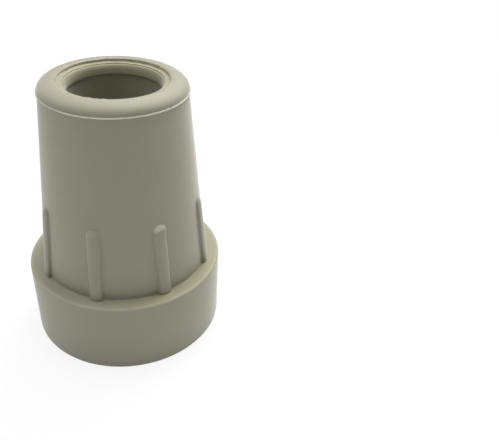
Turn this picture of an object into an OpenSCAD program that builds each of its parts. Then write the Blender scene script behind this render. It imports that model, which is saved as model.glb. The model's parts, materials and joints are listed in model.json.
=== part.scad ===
// Rubber cane tip: one moulded piece of grey rubber.
// It stands on its sole, with the origin at the sole's centre and +Z up the cane.

/* [Sole and collar] */
// Diameter of the sole, across its outer edge
sole_d = 41.2; // [38:0.1:60]
// Diameter of the collar, at the shelf on top of it
collar_d = 41.2; // [38:0.1:60]
// Height of the shelf above the floor
collar_h = 16.4; // [8:0.1:24]
// Width of the shelf, from the collar's edge in to the body
shelf_w = 3; // [2:0.1:4.5]
// Rounding of the sole's outer edge
sole_edge_r = 0.6; // [0.2:0.1:2]
// Rounding of the shelf's outer edge
shelf_edge_r = 0.5; // [0.2:0.1:1]

/* [Body and crown] */
// Overall height
tip_h = 56.4; // [48:0.1:80]
// Wall between the bore and the neck of the body
neck_wall = 5.1; // [3.5:0.1:6.5]
// Fillet where the body meets the shelf
foot_fillet_r = 0.2; // [0.2:0.1:0.8]
// Height of the crown, from the mould's parting line to the top
crown_h = 2.2; // [1.6:0.1:5]
// How far the crown's highest circle lies outside the step in the mouth
crest_w = 0.7; // [0.6:0.1:1.4]
// How far the crown stands outside the neck
crown_out = 0.05; // [0.05:0.01:0.4]
// Height of the crown's upright edge, above the ridge on the parting line
crown_edge_h = 0.2; // [0.1:0.05:0.5]
// How far the ridge on the parting line stands outside the neck
parting_out = 0.35; // [0.1:0.05:0.8]
// Height of the ridge above the parting line, where it slopes in to the crown
parting_rise = 0.2; // [0.2:0.05:1]
// Height of the ridge below the parting line, where it overhangs the body
parting_under = 0.1; // [0.05:0.05:0.5]

/* [Mouth and bore] */
// Diameter of the bore, before it is stretched over the cane
bore_d = 18; // [14:0.1:22]
// Thickness of rubber under the end of the cane
floor_t = 15; // [6:0.1:24]
// Width of the mouth, from the bore out to the step inside the crown
mouth_w = 1.5; // [0.9:0.1:2]
// Depth of the step inside the crown
step_h = 0.4; // [0.2:0.05:1]
// How far the crown falls from its highest circle to the step
crown_fall = 0.3; // [0.1:0.05:0.8]
// Height of the lip that grips the cane at the mouth
lip_h = 1.9; // [1.6:0.1:5]
// Depth of the small step from the mouth down to the lip
lip_step_h = 0.2; // [0.05:0.05:0.4]
// Width of the lip's rounding
lip_round_w = 0.6; // [0.3:0.1:0.8]
// Height of the lip's rounding
lip_round_h = 1.4; // [0.5:0.05:1.4]
// Depth of the undercut below the lip
undercut = 0.45; // [0.2:0.05:0.8]
// Length over which the undercut runs back into the bore
undercut_h = 14; // [4:0.5:16]

/* [Ribs] */
// Number of ribs around the body
rib_count = 8; // [4:1:12]
// Width of a rib
rib_w = 2.6; // [1.5:0.1:5]
// Length of a rib, up from the shelf
rib_len = 15.9; // [8:0.1:22]
// How far a rib stands out at its foot
rib_foot_out = 0.95; // [0.3:0.05:1.4]
// How far a rib stands out at the middle of its round end
rib_head_out = 0.6; // [0.2:0.05:1.2]
// How far a rib's face falls from its middle to its sides
rib_fall = 0.4; // [0.1:0.05:0.7]

/* [Tread] */
// Diameter of the disc in the middle of the sole
disc_d = 11.3; // [6:0.1:12]
// Number of ring grooves in the sole
groove_count = 2; // [1:1:2]
// Width of a groove
groove_w = 2.4; // [1:0.1:2.8]
// Width of the land between two grooves
land_w = 3.95; // [2:0.05:4.5]
// Depth of a groove
groove_deep = 1.8; // [0.5:0.1:3]
// How far each wall of a groove leans in
groove_draft = 0.15; // [0:0.05:0.4]

/* [Hidden] */
$fn = 96;

rubber_grey = [0.56, 0.54, 0.47];

sole_r = sole_d / 2;
collar_r = collar_d / 2;
bore_r = bore_d / 2;
foot_r = collar_r - shelf_w;
neck_r = bore_r + neck_wall;
parting_z = tip_h - crown_h;
crown_r = neck_r + crown_out;
ledge_z = parting_z + parting_rise;
crown_z = ledge_z + crown_edge_h;
step_r = bore_r + mouth_w;
crest_r = step_r + crest_w;
step_z = tip_h - crown_fall;
mouth_z = step_z - step_h;
lip_top_z = mouth_z - lip_step_h;
lip_z = lip_top_z - lip_h;
wall_r = bore_r + neck_wall / 2;
rib_end_z = collar_h + rib_len - rib_w / 2;
rib_face_r = (rib_w * rib_w / 4 + rib_fall * rib_fall) / (2 * rib_fall);
groove_pitch = groove_w + land_w;

// Radius of the tapered body at a height
function body_r(z) = foot_r + (neck_r - foot_r) * (z - collar_h) / (parting_z - collar_h);

// Points of an arc about a centre, with a radius along each axis
function arc(centre, radii, from, to, steps = 8) =
    [for (i = [0:steps])
        let (a = from + (to - from) * i / steps)
        centre + [radii.x * cos(a), radii.y * sin(a)]];

// Section of one groove that starts at a radius
function groove(r) = [
    [r, 0],
    [r + groove_draft, groove_deep],
    [r + groove_w - groove_draft, groove_deep],
    [r + groove_w, 0]
];

// The whole section, from the middle of the sole round to the end of the bore
function sole_points() =
    [[0, 0], for (i = [0:groove_count - 1]) each groove(disc_d / 2 + i * groove_pitch)];

function collar_points() = concat(
    arc([sole_r - sole_edge_r, sole_edge_r], [sole_edge_r, sole_edge_r], -90, 0),
    arc([collar_r - shelf_edge_r, collar_h - shelf_edge_r], [shelf_edge_r, shelf_edge_r], 0, 90)
);

function body_points() =
    let (fillet_z = collar_h + foot_fillet_r)
    concat(
        arc([body_r(fillet_z) + foot_fillet_r, fillet_z], [foot_fillet_r, foot_fillet_r], 270, 180),
        [
            [body_r(parting_z - parting_under), parting_z - parting_under],
            [neck_r + parting_out, parting_z],
            [crown_r, ledge_z]
        ]
    );

function crown_points() = concat(
    arc([crest_r, crown_z], [crown_r - crest_r, tip_h - crown_z], 0, 90, 12),
    [for (p = arc([crest_r, step_z], [crest_r - step_r, crown_fall], 90, 180, 6)) if (p.x < crest_r) p]
);

function bore_points() = concat(
    [[step_r, mouth_z], [bore_r + lip_round_w, mouth_z]],
    arc([bore_r + lip_round_w, lip_top_z - lip_round_h], [lip_round_w, lip_round_h], 90, 180),
    [
        [bore_r, lip_z],
        [bore_r + undercut, lip_z],
        [bore_r, lip_z - undercut_h],
        [bore_r, floor_t],
        [0, floor_t]
    ]
);

module turned_body() {
    rotate_extrude()
        polygon(concat(sole_points(), collar_points(), body_points(), crown_points(), bore_points()));
}

// Outline of a rib as seen from in front of it, with a round end
module rib_outline() {
    translate([-rib_w / 2, collar_h])
        square([rib_w, rib_end_z - collar_h]);
    translate([0, rib_end_z])
        circle(d = rib_w);
}

// Leaning bead that gives a rib its rounded face, with a ball at the rib's end
module rib_bead() {
    foot_out = body_r(collar_h) + rib_foot_out - rib_face_r;
    end_out = body_r(rib_end_z) + rib_head_out - rib_face_r;
    rise = rib_end_z - collar_h;
    lean = foot_out - end_out;
    translate([0, rib_end_z, end_out])
        rotate([atan2(rise, lean), 0, 0]) {
            sphere(rib_face_r);
            cylinder(h = norm([rise, lean]) + rib_face_r, r = rib_face_r);
        }
}

// One rib as seen from in front of it: up is +Y and out of the body is +Z
module rib() {
    intersection() {
        rib_bead();
        translate([0, 0, wall_r])
            linear_extrude(collar_r - wall_r)
                rib_outline();
    }
}

module ribs() {
    for (i = [0:rib_count - 1])
        rotate([90, 0, 90 + i * 360 / rib_count])
            rib();
}

module rubber_tip() {
    color(rubber_grey)
        union() {
            turned_body();
            ribs();
        }
}

rubber_tip();
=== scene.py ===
"""A moulded rubber cane tip: its surface in full detail, its rubber, a pale floor, soft light and a camera.

Everything is in metres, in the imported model's frame: +Z up the cane, with the sole's centre at the origin.
"""

import json
import math

import bpy
import numpy as np
from mathutils import Matrix, Vector


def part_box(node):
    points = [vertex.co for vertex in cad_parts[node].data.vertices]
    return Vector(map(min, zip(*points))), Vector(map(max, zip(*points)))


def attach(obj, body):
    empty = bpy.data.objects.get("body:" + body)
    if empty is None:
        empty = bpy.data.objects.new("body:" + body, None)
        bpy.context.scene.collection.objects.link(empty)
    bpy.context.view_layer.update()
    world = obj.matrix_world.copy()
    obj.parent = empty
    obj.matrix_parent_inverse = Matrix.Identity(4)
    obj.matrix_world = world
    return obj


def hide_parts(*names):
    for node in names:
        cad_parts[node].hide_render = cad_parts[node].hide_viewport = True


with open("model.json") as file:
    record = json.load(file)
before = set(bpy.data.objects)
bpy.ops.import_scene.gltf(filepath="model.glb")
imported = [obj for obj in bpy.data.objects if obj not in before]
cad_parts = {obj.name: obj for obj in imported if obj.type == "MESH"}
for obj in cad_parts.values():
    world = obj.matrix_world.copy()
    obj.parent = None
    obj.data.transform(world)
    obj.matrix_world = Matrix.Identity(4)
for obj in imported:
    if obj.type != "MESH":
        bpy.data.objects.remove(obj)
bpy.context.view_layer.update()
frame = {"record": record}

MM = 0.001
TURN = 2 * math.pi

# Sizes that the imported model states
_, tip_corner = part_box("rubber_tip")
cane_bore = next(m for m in frame["record"]["mounts"] if m["name"] == "cane_bore")
SOLE_R = tip_corner.x
TIP_H = tip_corner.z
BORE_R = cane_bore["dims"]["r_mm"] * MM
BORE_LEN = cane_bore["dims"]["length_mm"] * MM

# Sole, collar and body
COLLAR_R = 20.6 * MM
COLLAR_H = 16.4 * MM
SHELF_W = 3.0 * MM
SOLE_EDGE = 0.6 * MM
SHELF_EDGE = 0.5 * MM
FOOT_FILLET = 0.2 * MM
FOOT_R = COLLAR_R - SHELF_W
NECK_R = BORE_R + 5.1 * MM

# Tread rings of the sole
DISC_R = 5.65 * MM
GROOVE_W = 2.4 * MM
LAND_W = 3.95 * MM
GROOVE_DEEP = 1.8 * MM
GROOVE_DRAFT = 0.15 * MM
GROOVE_COUNT = 2
TREAD_EDGE = 0.14 * MM
TREAD_ROOT = 0.25 * MM

# Gate mark and witness ring in the middle of the sole
GATE_R = 1.5 * MM
GATE_EDGE = 0.6 * MM
GATE_DEEP = 0.3 * MM
NIB_R = 0.8 * GATE_R
NIB_H = 0.22 * MM
WITNESS_R = 4.75 * MM
WITNESS_W = 0.45 * MM
WITNESS_DEEP = 0.07 * MM

# Parting line and crown
CROWN_H = 2.2 * MM
CROWN_R = NECK_R + 0.05 * MM
PARTING_OUT = 0.35 * MM
PARTING_RISE = 0.2 * MM
PARTING_UNDER = 0.1 * MM
PARTING_EDGE = 0.04 * MM
PARTING_ROOT = 0.08 * MM
PARTING_Z = TIP_H - CROWN_H
CROWN_EDGE_H = 0.2 * MM
CROWN_Z = PARTING_Z + PARTING_RISE + CROWN_EDGE_H
CROWN_FULLNESS = 0.9

# Mouth, lip and bore
STEP_R = BORE_R + 1.5 * MM
CREST_R = STEP_R + 0.7 * MM
STEP_Z = TIP_H - 0.3 * MM
RING_Z = STEP_Z - 0.4 * MM
MOUTH_Z = RING_Z - 0.2 * MM
LIP_Z = MOUTH_Z - 1.9 * MM
LIP_ROUND_W = 0.6 * MM
LIP_ROUND_H = 1.4 * MM
UNDERCUT = 0.45 * MM
UNDERCUT_H = 14 * MM
UNDERCUT_EASE = 2 * MM
FLOOR_Z = MOUTH_Z - LIP_ROUND_H - BORE_LEN
FLOOR_EDGE = 0.5 * MM
STEP_EDGE = 0.19 * MM
RING_EDGE = 0.08 * MM
CREASE = 0.08 * MM

# Ribs
RIB_COUNT = 8
RIB_GAP = TURN / RIB_COUNT
RIB_W = 2.6 * MM
RIB_TOP_Z = COLLAR_H + 15.9 * MM
RIB_END_Z = RIB_TOP_Z - RIB_W / 2
RIB_FOOT_OUT = 0.95 * MM
RIB_HEAD_OUT = 0.75 * MM
RIB_FALL = 0.4 * MM
RIB_FACE_R = (RIB_W ** 2 / 4 + RIB_FALL ** 2) / (2 * RIB_FALL)
RIB_EDGE = 0.35 * MM
RIB_SIDE = 0.4 * MM
RIB_DOME = 1.9 * MM

# Unevenness of the parting line and of the step in the mouth, and how far it reaches from them
PARTING_UNEVEN = 0.06 * MM
PARTING_REACH = 0.3 * MM
STEP_UNEVEN = 0.1 * MM
STEP_REACH = 0.45 * MM

# Torn edge of the step, on one side of the mouth: the cosines from that side where it starts and is full
TEAR_SIDE = math.radians(-97)
TEAR_START = 0.84
TEAR_FULL = 0.96
TEAR_IN = 0.22 * MM
TEAR_UP = 0.26 * MM

# Uneven lines round the tip: a seed, and the fewest and most waves
PARTING_WAVES = 11, 3, 60
TRIM_WAVES = 5, 6, 110
TEAR_WAVES = 23, 24, 70

# Pale places: how pale each is, from 0 for plain rubber to 1, and how wide its edge fades. The gate mark's
# is wear; the parting ridge's, the step wall's, the lip's and the shelf edge's are painted light and
# highlights
RIDGE_HIGHLIGHT = 0.85
RIDGE_HIGHLIGHT_UNEVEN = 0.15
GATE_WEAR = 0.8
STEP_WALL_LIGHT = 0.32
STEP_FADE = 0.4 * MM
LIP_LIGHT = 0.22
LIP_LIGHT_BELOW = 0.15 * MM
LIP_FADE = 0.4 * MM
SHELF_EDGE_HIGHLIGHT = 0.16
SHELF_EDGE_FADE = 0.43 * MM

# Painted highlights on the ribs' ends: the rib counted from +X, how far the highlight reaches below its top,
# and how pale it is
RIB_END_HIGHLIGHTS = ((-1, 1.5 * MM, 0.46), (-2, 1.6 * MM, 0.14))
END_HIGHLIGHT_SLANT = 0.25
END_HIGHLIGHT_FADE = 0.55
END_HIGHLIGHT_STAND = 0.25 * MM

# Trimmed places: how flecked each is, from 0 to 1, and the band of flecks along the torn edge
STEP_TRIM = 0.4
RING_TRIM = 0.25
TEAR_TRIM = 0.4
TEAR_BAND_OUT = 0.4 * MM
TEAR_BAND_FADE = 0.9 * MM

# Yellow places, with painted warm light on the shelf toward +X: how wide their edges fade, and the cosine
# from +X where the shelf is fully yellow
MOUTH_FADE = 0.5 * MM
SHELF_FADE = 0.4 * MM
SHELF_FULL = 0.7

# Margins that keep the points on an edge inside or outside a mark
SHELF_MARGIN = 0.001 * MM
LIP_MARGIN = 0.01 * MM
RING_MARGIN = 0.02 * MM

# Colours of the rubber, as it is, where the marks of moulding and use change it, and where light is painted
# on it
DARK_CLOUD = 0.302, 0.288, 0.216, 1
PALE_CLOUD = 0.332, 0.317, 0.242, 1
MOTTLED = 0.282, 0.269, 0.202, 1
SPECK = 0.13, 0.125, 0.09, 1
YELLOW_AND_WARM_LIGHT_COLOUR = 0.31, 0.293, 0.197, 1
WEAR_AND_LIGHT_COLOUR = 0.7, 0.675, 0.54, 1
PALE_FLECK = 0.56, 0.54, 0.43, 1
DARK_FLECK = 0.17, 0.16, 0.11, 1
SHEEN_TINT = 1, 0.98, 0.9, 1

# Floor and light. A lamp has a name, an azimuth from +X and an elevation in degrees, and a power in watts
WHITE = 1, 1, 1, 1
PAPER = 0.86, 0.86, 0.86, 1
FLOOR_SIZE = 4.0
LAMP_AWAY = 0.9
LAMP_SIZE = 0.7
LAMPS = (
    ("behind_right", 67, 68, 5.8),
    ("low_behind_right", 73, 45, 4.5),
    ("behind", 112, 70, 3.1),
    ("left", 202, 60, 3.0),
    ("front_left", 247, 40, 0.75),
    ("right", 0, 42, 1.2),
)


def unit(vectors):
    """Vectors of length 1 along the given ones."""
    return vectors / np.linalg.norm(vectors, axis=-1, keepdims=True)


def smooth(share):
    """Smooth step: 0 below 0, 1 above 1, and 3 s squared less 2 s cubed between."""
    share = np.clip(share, 0, 1)
    return share * share * (3 - 2 * share)


def near(distance, width, flat=0.0):
    """Share near a place: 1 within so many flat widths of it, and 0 one width farther, by a smooth step."""
    return smooth(1 + flat - distance / width)


def rounded(corners, steps=5):
    """Section along straight sides, with an arc in place of each inner corner.

    A corner is a radius, a height and a rounding. Its arc touches both sides at the rounding divided by the
    tangent of half the corner's angle, and its centre lies on the bisector at the rounding over the sine.
    """
    corners = np.array(corners)
    at, rounding = corners[1:-1, :2], corners[1:-1, 2, None]
    back, ahead = unit(corners[:-2, :2] - at), unit(corners[2:, :2] - at)
    half = np.arccos(np.sum(back * ahead, axis=1, keepdims=True)) / 2
    centre = at + unit(back + ahead) * rounding / np.sin(half)
    start = at + back * rounding / np.tan(half) - centre
    end = at + ahead * rounding / np.tan(half) - centre
    first = np.arctan2(start[:, 1:], start[:, :1])
    swing = (np.arctan2(end[:, 1:], end[:, :1]) - first + math.pi) % TURN - math.pi
    angle = first + swing * np.linspace(0, 1, steps)
    arcs = centre[:, None] + rounding[:, None] * np.stack([np.cos(angle), np.sin(angle)], axis=-1)
    return np.concatenate([corners[:1, :2], arcs.reshape(-1, 2), corners[-1:, :2]])


def quarter(centre, width, height, first, steps, fullness=1.0):
    """Quarter of an ellipse from an angle, counter-clockwise if steps is above 0 and clockwise if below.

    The cosine and sine are taken to the power of one over the fullness, which below 1 slims the shoulder.
    """
    angle = math.radians(first) + math.copysign(math.pi / 2, steps) * np.linspace(0, 1, abs(steps))
    turn = np.stack([np.cos(angle), np.sin(angle)], axis=1).round(12)
    return np.array(centre) + np.array([width, height]) * np.sign(turn) * np.abs(turn) ** (1 / fullness)


def column(radii, heights):
    """Section points from radii and heights, either of which may be one number."""
    return np.stack(np.broadcast_arrays(radii, heights), axis=1).astype(float)


def joined(*stretches):
    """One section from stretches that follow each other, without the points that repeat."""
    points = np.concatenate(stretches)
    step = np.linalg.norm(np.diff(points, axis=0), axis=1)
    return points[np.concatenate([[True], step > 1e-7])]


def body_r(height):
    """Radius of the tapered body at a height."""
    return FOOT_R + (NECK_R - FOOT_R) * (height - COLLAR_H) / (PARTING_Z - COLLAR_H)


def tip_section():
    """Half section of the tip: from the middle of the sole, up the outside, and down to the end of the bore.

    It has straight sides with rounded corners, and quarters of ellipses at the body's foot, the crown and
    the lip. Its points lie closer where the sole's marks and the ribs' ends need them.
    """
    grooves = DISC_R + np.arange(GROOVE_COUNT) * (GROOVE_W + LAND_W)
    disc = column(np.linspace(0, DISC_R - TREAD_EDGE, 44), 0)
    tread = [corner for r in grooves for corner in (
        (r, 0, TREAD_EDGE),
        (r + GROOVE_DRAFT, GROOVE_DEEP, TREAD_ROOT),
        (r + GROOVE_W - GROOVE_DRAFT, GROOVE_DEEP, TREAD_ROOT),
        (r + GROOVE_W, 0, TREAD_EDGE),
    )]
    sole = rounded([
        (DISC_R - TREAD_EDGE, 0, 0),
        *tread,
        (SOLE_R, 0, SOLE_EDGE),
        (COLLAR_R, COLLAR_H, SHELF_EDGE),
        (FOOT_R + FOOT_FILLET, COLLAR_H, 0),
    ])
    shelf = column(np.linspace(COLLAR_R - SHELF_EDGE, FOOT_R + FOOT_FILLET, 8), COLLAR_H)
    fillet_z = COLLAR_H + FOOT_FILLET
    fillet = quarter((body_r(fillet_z) + FOOT_FILLET, fillet_z), FOOT_FILLET, FOOT_FILLET, 270, -5)
    under = PARTING_Z - PARTING_UNDER
    below = PARTING_Z - 3 * PARTING_UNDER
    heights = np.concatenate([
        np.linspace(fillet_z, RIB_TOP_Z - RIB_DOME, 16),
        np.linspace(RIB_TOP_Z - RIB_DOME, RIB_TOP_Z + RIB_W / 6, 32)[1:],
        np.linspace(RIB_TOP_Z + RIB_W / 6, below, 20)[1:],
    ])
    body = column(body_r(heights), heights)
    ridge = rounded([
        (body_r(below), below, 0),
        (body_r(under), under, PARTING_ROOT),
        (NECK_R + PARTING_OUT, PARTING_Z, PARTING_EDGE),
        (CROWN_R, PARTING_Z + PARTING_RISE, PARTING_ROOT),
        (CROWN_R, CROWN_Z, 0),
    ])
    crown = quarter((CREST_R, CROWN_Z), CROWN_R - CREST_R, TIP_H - CROWN_Z, 0, 24, CROWN_FULLNESS)
    fall = quarter((CREST_R, STEP_Z), CREST_R - STEP_R, TIP_H - STEP_Z, 90, 9)
    ring_r = BORE_R + LIP_ROUND_W
    step = rounded([
        (*fall[-2], 0),
        (STEP_R, STEP_Z, STEP_EDGE),
        (STEP_R, RING_Z, STEP_EDGE),
        (ring_r, RING_Z, RING_EDGE),
        (ring_r, MOUTH_Z, RING_EDGE),
        (BORE_R + 0.8 * LIP_ROUND_W, MOUTH_Z, 0),
    ])
    lip = quarter((ring_r, MOUTH_Z - LIP_ROUND_H), LIP_ROUND_W, LIP_ROUND_H, 90, 12)
    bore = rounded([
        (*lip[-1], 0),
        (BORE_R, LIP_Z, CREASE),
        (BORE_R + UNDERCUT, LIP_Z, CREASE),
        (BORE_R, LIP_Z - UNDERCUT_H, UNDERCUT_EASE),
        (BORE_R, FLOOR_Z, FLOOR_EDGE),
        (0, FLOOR_Z, 0),
    ])
    return joined(disc, sole[:-1], shelf, fillet, body, ridge[1:], crown,
                  fall[:-1], step[1:-1], lip[2:], bore)


def column_angles():
    """Angles of the grid's columns: close together across the sides of each rib, wider between ribs."""
    middle_r = (FOOT_R + NECK_R) / 2
    half_gap = math.pi * middle_r / RIB_COUNT
    half = np.concatenate([
        np.linspace(0, 0.65, 4)[:-1] * RIB_W / 2,
        np.linspace(0.65, 1.15, 14) * RIB_W / 2,
        np.geomspace(1.15 * RIB_W / 2, half_gap, 7)[1:],
    ])
    sector = np.concatenate([-half[:0:-1], half[:-1]]) / middle_r
    return (np.arange(RIB_COUNT)[:, None] * RIB_GAP + sector).ravel()


def arc_sag(reach, radius):
    """How far a circle falls below its top, at a distance from the top of up to most of its radius.

    It is the radius less the root of the radius squared less the distance squared.
    """
    return radius - np.sqrt(radius ** 2 - np.clip(reach, 0, 0.9 * radius) ** 2)


def rib_relief(radius, height, angle):
    """How far the ribs stand out of the body.

    A rib's face is a bead that leans from its foot to its end, where it closes in a ball. The bead's outside
    lies at the line of its middle, less the sag of a circle at the distance from that line. The distance is
    the width across and, past the end's centre, the rise too. A smaller circle rounds the edges, the sides
    fall by a smooth step, and a quarter of an ellipse along the rib domes its end.
    """
    across = radius * np.sin((angle + RIB_GAP / 2) % RIB_GAP - RIB_GAP / 2)
    reach = np.hypot(across, np.maximum(height - RIB_END_Z, 0))
    face_sag = arc_sag(np.minimum(reach, RIB_W / 2), RIB_FACE_R)
    edge_sag = arc_sag(reach - (RIB_W / 2 - RIB_EDGE), RIB_EDGE)
    foot_r = FOOT_R + RIB_FOOT_OUT
    head_r = body_r(RIB_END_Z) + RIB_HEAD_OUT
    middle_r = np.interp(height, [COLLAR_H, RIB_END_Z], [foot_r, head_r])
    stand = np.maximum(np.hypot(middle_r - (face_sag + edge_sag), across) - radius, 0)
    dome = np.sqrt(1 - np.clip(1 + (height - RIB_TOP_Z) / RIB_DOME, 0, 0.97) ** 2)
    return stand * dome * smooth((RIB_W / 2 + RIB_SIDE / 2 - reach) / RIB_SIDE)


def ragged(angle, seed, fewest, most):
    """Uneven line round the tip, within -1 and 1.

    It is a sum of cosines of whole counts of waves, with drawn sizes and phases, over its largest value.
    """
    draw = np.random.default_rng(seed)
    counts = np.arange(fewest, most)
    sizes = draw.normal(size=counts.size) / np.sqrt(counts)
    phases = draw.uniform(0, TURN, counts.size)
    line = np.cos(np.multiply.outer(angle, counts) + phases) @ sizes
    return line / np.abs(line).max()


def toward(angle, side, start, end):
    """Share toward one side of the tip: a smooth step of the cosine of the angle from that side."""
    return smooth((np.cos(angle - side) - start) / (end - start))


def in_mouth(radius, height):
    """Share of the mouth: a smooth step in from the crown's highest circle, and none below the lip."""
    return smooth((CREST_R - radius) / MOUTH_FADE) * (height > LIP_Z + LIP_MARGIN)


def lit_rib_end(radius, height, angle, rib, depth):
    """Painted highlight on one rib's end: a smooth step up the rib, from a slanting line this deep below its
    top.
    """
    off = angle - rib * RIB_GAP
    above = height - RIB_TOP_Z + depth - END_HIGHLIGHT_SLANT * radius * np.sin(off)
    return smooth(above / (END_HIGHLIGHT_FADE * depth)) * (np.cos(off) > math.cos(RIB_GAP / 2))


def worn_places(radius, height, angle, ribs):
    """How pale the rubber is painted where light falls: highlights on the ribs' ends and the shelf's edge,
    and light on the step in the mouth and the lip.

    Each share is a smooth step of the distance from its place, and the greatest one at a point holds.
    """
    # Painted highlights on the ribs' ends
    end_highlights = [share * lit_rib_end(radius, height, angle, rib, depth) for rib, depth, share in RIB_END_HIGHLIGHTS]
    on_ribs = smooth(ribs / END_HIGHLIGHT_STAND)
    on_wall = (height > RING_Z + RING_MARGIN) & (height < STEP_Z)
    # Painted light on the step's wall in the mouth
    step_wall = near(np.abs(radius - STEP_R), STEP_FADE, 0.2) * on_wall
    # Painted light on the lip
    on_lip = smooth((MOUTH_Z - LIP_LIGHT_BELOW - height) / LIP_FADE) * in_mouth(radius, height)
    # Painted highlight on the shelf's outer edge
    from_edge = np.hypot(radius - COLLAR_R + 0.4 * SHELF_EDGE, height - COLLAR_H)
    return np.maximum.reduce([
        np.maximum.reduce(end_highlights) * on_ribs,
        STEP_WALL_LIGHT * step_wall,
        LIP_LIGHT * on_lip,
        SHELF_EDGE_HIGHLIGHT * near(from_edge, SHELF_EDGE_FADE, 0.25),
    ])


def trimmed_places(radius, height, at_step, tear_side):
    """How flecked the rubber is by trimming: at the step in the mouth, at the ring and along the torn edge.

    Each share is a smooth step of the distance from its place, and the greatest one at a point holds.
    """
    at_ring = near(np.hypot(radius - BORE_R - LIP_ROUND_W, height - RING_Z), STEP_REACH)
    above_ring = height > (RING_Z + STEP_Z) / 2
    tear_band = near(np.abs(radius - STEP_R - TEAR_BAND_OUT), TEAR_BAND_FADE) * above_ring
    return np.maximum.reduce([STEP_TRIM * at_step, RING_TRIM * at_ring, TEAR_TRIM * tear_side * tear_band])


def yellowed_places(radius, height, angle):
    """How yellow the rubber is: fully in the mouth, and on the shelf by a smooth step toward +X, which is
    painted warm light.
    """
    # Painted warm light on the shelf, growing toward +X
    on_shelf = near(np.abs(height - COLLAR_H), SHELF_FADE, 0.5) * (radius > FOOT_R - SHELF_EDGE)
    return np.maximum(on_shelf * toward(angle, 0, 0, SHELF_FULL), in_mouth(radius, height))


def closed_turn(name, x, y, z, **marks):
    """Mesh of a turned grid: rows run along the section, columns round it, and the end rows are poles.

    Each mark is a share at every point, which the mesh keeps under the mark's name.
    """
    rows, cols = x.shape
    grid = np.stack([x, y, z, *marks.values()], axis=-1)
    values = np.concatenate([grid[1:-1].reshape(-1, 3 + len(marks)), grid[[0, -1], 0]])
    points = values[:, :3]
    index = np.arange((rows - 2) * cols).reshape(rows - 2, cols)
    beside = np.roll(index, -1, axis=1)
    quads = np.stack([index[:-1], beside[:-1], beside[1:], index[1:]], axis=-1).reshape(-1, 4)
    start_pole = np.full(cols, len(points) - 2)
    end_pole = np.full(cols, len(points) - 1)
    start_fan = np.stack([start_pole, beside[0], index[0]], axis=1)
    end_fan = np.stack([index[-1], beside[-1], end_pole], axis=1)
    fans = np.concatenate([start_fan, end_fan])
    mesh = bpy.data.meshes.new(name)
    mesh.vertices.add(len(points))
    mesh.vertices.foreach_set("co", points.ravel())
    mesh.loops.add(quads.size + fans.size)
    mesh.loops.foreach_set("vertex_index", np.concatenate([quads.ravel(), fans.ravel()]))
    sizes = np.concatenate([np.full(len(quads), 4), np.full(len(fans), 3)])
    mesh.polygons.add(len(sizes))
    mesh.polygons.foreach_set("loop_start", np.cumsum(sizes) - sizes)
    mesh.polygons.foreach_set("use_smooth", np.ones(len(sizes), bool))
    for mark, shares in zip(marks, values[:, 3:].T):
        mesh.attributes.new(mark, "FLOAT", "POINT").data.foreach_set("value", shares.copy())
    mesh.update(calc_edges=True)
    mesh.validate()
    piece = bpy.data.objects.new(name, mesh)
    bpy.context.scene.collection.objects.link(piece)
    return piece


def moulded_tip():
    """The tip's skin: its section turned about the cane, with the ribs and the marks of moulding and use.

    Ribs push the body out, and draw the shelf's inner edge out with them. Uneven lines move the parting line
    and the step in the mouth, whose edge is torn on one side. The gate mark is a dimple with a torn nib of
    three lobes, inside a shallow ring. The mesh keeps how pale each point is by wear and by painted light,
    how trimmed it is, and how yellow, with painted warm light on the shelf.
    """
    section = tip_section()
    angle = column_angles()[None, :]
    radius = np.repeat(section[:, :1], angle.size, axis=1)
    height = np.repeat(section[:, 1:], angle.size, axis=1)

    outside = (height > COLLAR_H - SHELF_MARGIN) & (radius > (STEP_R + NECK_R) / 2)
    foot_share = (COLLAR_R - SHELF_EDGE - radius) / (SHELF_W - SHELF_EDGE - FOOT_FILLET)
    ribs = rib_relief(radius, height, angle) * np.clip(foot_share, 0, 1) * outside
    radius += ribs

    from_ridge = np.hypot(radius - NECK_R - PARTING_OUT, height - PARTING_Z)
    at_ridge = near(from_ridge, PARTING_REACH) * outside
    radius += PARTING_UNEVEN * (ragged(angle, *PARTING_WAVES) - 0.5) * at_ridge

    trim = ragged(angle, *TRIM_WAVES)
    at_step = near(np.hypot(radius - STEP_R, height - STEP_Z), STEP_REACH)
    tear_side = toward(angle, TEAR_SIDE, TEAR_START, TEAR_FULL)
    torn = at_step * tear_side * np.clip(ragged(angle, *TEAR_WAVES), 0, 1)
    radius += STEP_UNEVEN * trim * at_step - TEAR_IN * torn
    height += TEAR_UP * torn

    under = (height < 0.5 * GROOVE_DEEP) & (radius < DISC_R - TREAD_EDGE)
    gate = smooth((GATE_R - radius) / GATE_EDGE) * under
    nib_lobes = 0.7 + 0.3 * np.cos(3 * angle + 0.6) * radius / GATE_R
    nib = NIB_H * near(radius, NIB_R) * nib_lobes
    witness = WITNESS_DEEP * near(np.abs(radius - WITNESS_R), WITNESS_W / 2)
    height += GATE_DEEP * gate + (witness - nib) * under

    # Painted highlight along the parting ridge, uneven with the trim line
    on_ridge = near(from_ridge, PARTING_REACH, 0.4) * outside
    ridge_highlight = on_ridge * (RIDGE_HIGHLIGHT + RIDGE_HIGHLIGHT_UNEVEN * trim)
    worn = np.maximum.reduce([ridge_highlight, GATE_WEAR * gate, worn_places(radius, height, angle, ribs)])
    trimmed = trimmed_places(radius, height, at_step, tear_side)
    yellowed = yellowed_places(radius, height, angle)
    return closed_turn("moulded_tip", radius * np.cos(angle), radius * np.sin(angle), height,
                       worn=worn, trimmed=trimmed, yellowed=yellowed)


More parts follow.
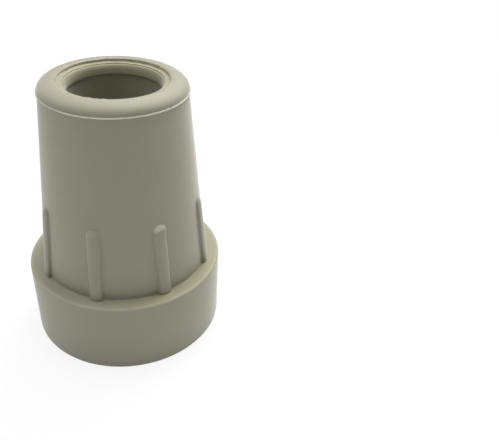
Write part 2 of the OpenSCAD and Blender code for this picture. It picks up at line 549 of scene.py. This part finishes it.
class Shade:
    """A socket of a material's nodes. Arithmetic on it adds Math nodes, and node() adds any other node."""

    def __init__(self, tree, socket=None):
        self.tree = tree
        self.socket = socket

    def node(self, kind, settings=None, inputs=None, output=0):
        """Adds a node of this kind: its settings first, then a value or a link for each of its sockets."""
        made = self.tree.nodes.new(kind)
        for key, value in (settings or {}).items():
            setattr(made, key, value)
        for key, value in (inputs or {}).items():
            if isinstance(value, Shade):
                self.tree.links.new(value.socket, made.inputs[key])
            else:
                made.inputs[key].default_value = value
        return Shade(self.tree, made.outputs[output] if made.outputs else None)

    def math(self, operation, first, second):
        """Adds a Math node for two sockets or numbers."""
        return self.node("ShaderNodeMath", {"operation": operation}, {0: first, 1: second})

    def __add__(self, other):
        return self.math("ADD", self, other)

    def __radd__(self, other):
        return self.math("ADD", other, self)

    def __sub__(self, other):
        return self.math("SUBTRACT", self, other)

    def __rsub__(self, other):
        return self.math("SUBTRACT", other, self)

    def __mul__(self, other):
        return self.math("MULTIPLY", self, other)

    def __rmul__(self, other):
        return self.math("MULTIPLY", other, self)

    def __lt__(self, other):
        return self.math("LESS_THAN", self, other)

    def __gt__(self, other):
        return self.math("GREATER_THAN", self, other)


def new_material(name):
    """An empty node material, and the Shade that adds its first nodes."""
    material = bpy.data.materials.new(name)
    material.use_nodes = True
    material.node_tree.nodes.clear()
    return material, Shade(material.node_tree)


def mixed(new, share, first, second):
    """Colour between two colours, by a share."""
    return new.node("ShaderNodeMix", {"data_type": "RGBA"}, {0: share, 6: first, 7: second}, output=2)


def grey_rubber():
    """Warm grey moulded rubber: clouds of filler, fine mottling, a few dark specks and a matt grain.

    The mesh's marks tint it: yellow rubber with painted warm light on one side of the shelf, pale wear and
    painted light and highlights that the mottling breaks up, and light and dark flecks along trimmed edges.
    """
    material, new = new_material("grey_rubber")
    place = new.node("ShaderNodeTexCoord", output="Object")

    def noise(size, detail):
        """Clouds about this size across."""
        sockets = {"Vector": place, "Scale": 1 / size, "Detail": detail, "Roughness": 0.55}
        return new.node("ShaderNodeTexNoise", None, sockets)

    def mark(name):
        """Share of a mark that the mesh keeps."""
        return new.node("ShaderNodeAttribute", {"attribute_name": name}, output="Fac")

    clouds = noise(9 * MM, 4)
    mottle = noise(2.2 * MM, 3)
    chips = noise(0.7 * MM, 2)
    grain = noise(0.35 * MM, 2)
    colour = mixed(new, clouds, DARK_CLOUD, PALE_CLOUD)
    colour = mixed(new, mottle * 0.35, colour, MOTTLED)

    speck_cells = {"Vector": place, "Scale": 1 / (6.5 * MM), "Randomness": 1.0}
    to_speck = new.node("ShaderNodeTexVoronoi", None, speck_cells, output="Distance")
    speck_kind = new.node("ShaderNodeTexVoronoi", None, speck_cells, output="Color")
    speck_size = new.node("ShaderNodeSeparateColor", None, {"Color": speck_kind}) * 0.05
    colour = mixed(new, (to_speck < speck_size) * 0.35, colour, SPECK)

    # Yellow in the mouth, and painted warm light on one side of the shelf
    colour = mixed(new, mark("yellowed"), colour, YELLOW_AND_WARM_LIGHT_COLOUR)
    # Pale wear on the gate mark, and painted light and highlights on the ridge, ribs' ends, step, lip and
    # shelf's edge
    colour = mixed(new, mark("worn") * (0.6 + mottle * 0.8), colour, WEAR_AND_LIGHT_COLOUR)
    colour = mixed(new, mark("trimmed") * (chips - 0.5) * 6, colour, PALE_FLECK)
    colour = mixed(new, mark("trimmed") * (0.47 - chips) * 6, colour, DARK_FLECK)

    relief = {"Height": grain + mottle * 2, "Strength": 0.12, "Distance": 0.05 * MM}
    rubber = new.node("ShaderNodeBsdfPrincipled", None, {
        "Base Color": colour,
        "Roughness": 0.5 + clouds * 0.12 + grain * 0.06,
        "Normal": new.node("ShaderNodeBump", None, relief),
        "Sheen Weight": 0.5,
        "Sheen Roughness": 0.4,
        "Sheen Tint": SHEEN_TINT,
    })
    new.node("ShaderNodeOutputMaterial", None, {"Surface": rubber})
    return material


def seen_directly(new):
    """1 for what the camera sees, also in a reflection or through glass, and 0 for light that it casts."""
    kinds = "Camera", "Glossy", "Transmission"
    camera, glossy, through = (new.node("ShaderNodeLightPath", output=f"Is {kind} Ray") for kind in kinds)
    return new.math("MAXIMUM", camera, new.math("MAXIMUM", glossy, through))


def pale_floor(size):
    """Flat square floor of pale matt paper. It looks white, and near the tip it keeps some of the shadow."""
    reach = size / 2
    corners = [(-reach, -reach, 0), (reach, -reach, 0), (reach, reach, 0), (-reach, reach, 0)]
    mesh = bpy.data.meshes.new("floor")
    mesh.from_pydata(corners, [], [(0, 1, 2, 3)])
    floor = bpy.data.objects.new("floor", mesh)
    bpy.context.scene.collection.objects.link(floor)
    material, new = new_material("pale_paper")
    paper = new.node("ShaderNodeBsdfDiffuse", None, {"Color": PAPER})
    glow = new.node("ShaderNodeEmission", None, {"Color": WHITE, "Strength": 1.0})
    place = new.node("ShaderNodeTexCoord", output="Object")
    from_tip = new.node("ShaderNodeVectorMath", {"operation": "LENGTH"}, {0: place}, output="Value")
    share = seen_directly(new) * new.math("MINIMUM", 0.85 + from_tip * 0.5, 1.0)
    floor_look = new.node("ShaderNodeMixShader", None, {0: share, 1: paper, 2: glow})
    new.node("ShaderNodeOutputMaterial", None, {"Surface": floor_look})
    mesh.materials.append(material)
    return floor


def soft_lamp(name, azimuth, elevation, power):
    """Square lamp that faces the tip, seen from it at an azimuth from +X and an elevation, in degrees."""
    aim = Vector((0, 0, TIP_H / 2))
    turn, rise = math.radians(azimuth), math.radians(elevation)
    toward_lamp = Vector((math.cos(turn) * math.cos(rise), math.sin(turn) * math.cos(rise), math.sin(rise)))
    lamp = bpy.data.lights.new(name, "AREA")
    lamp.shape = "SQUARE"
    lamp.size = LAMP_SIZE
    lamp.energy = power
    holder = bpy.data.objects.new(name, lamp)
    holder.location = aim + toward_lamp * LAMP_AWAY
    holder.rotation_euler = toward_lamp.to_track_quat("Z", "Y").to_euler()
    bpy.context.scene.collection.objects.link(holder)


def white_surround():
    """White behind everything, which the camera sees and which casts no light."""
    world = bpy.data.worlds.new("surround")
    world.use_nodes = True
    world.node_tree.nodes.clear()
    new = Shade(world.node_tree)
    seen = new.node("ShaderNodeLightPath", output="Is Camera Ray")
    surround = new.node("ShaderNodeBackground", None, {"Color": WHITE, "Strength": seen})
    new.node("ShaderNodeOutputWorld", None, {"Surface": surround})
    bpy.context.scene.world = world


def photo_camera():
    """Camera of the photograph: close to the tip, looking down at it, with a slight roll."""
    focal_pixels = 584
    image_pixels = 500
    place = Vector((40.67, -100.46, 96.53)) * MM
    yaw, pitch, roll = (math.radians(degrees) for degrees in (7.46, 33.86, 3.85))
    camera = bpy.data.cameras.new("photo_camera")
    camera.sensor_fit = "HORIZONTAL"
    camera.sensor_width = 36
    camera.lens = camera.sensor_width * focal_pixels / image_pixels
    camera.clip_start = 0.005
    holder = bpy.data.objects.new("photo_camera", camera)
    holder.matrix_world = (Matrix.Translation(place)
                           @ Matrix.Rotation(yaw, 4, "Z")
                           @ Matrix.Rotation(math.pi / 2 - pitch, 4, "X")
                           @ Matrix.Rotation(roll, 4, "Z"))
    bpy.context.scene.collection.objects.link(holder)
    bpy.context.scene.camera = holder


photo_camera()
tip = moulded_tip()
tip.data.materials.append(grey_rubber())
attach(tip, "root")
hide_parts("rubber_tip")

pale_floor(FLOOR_SIZE)
white_surround()
for lamp in LAMPS:
    soft_lamp(*lamp)
bpy.context.scene.view_settings.view_transform = "Standard"
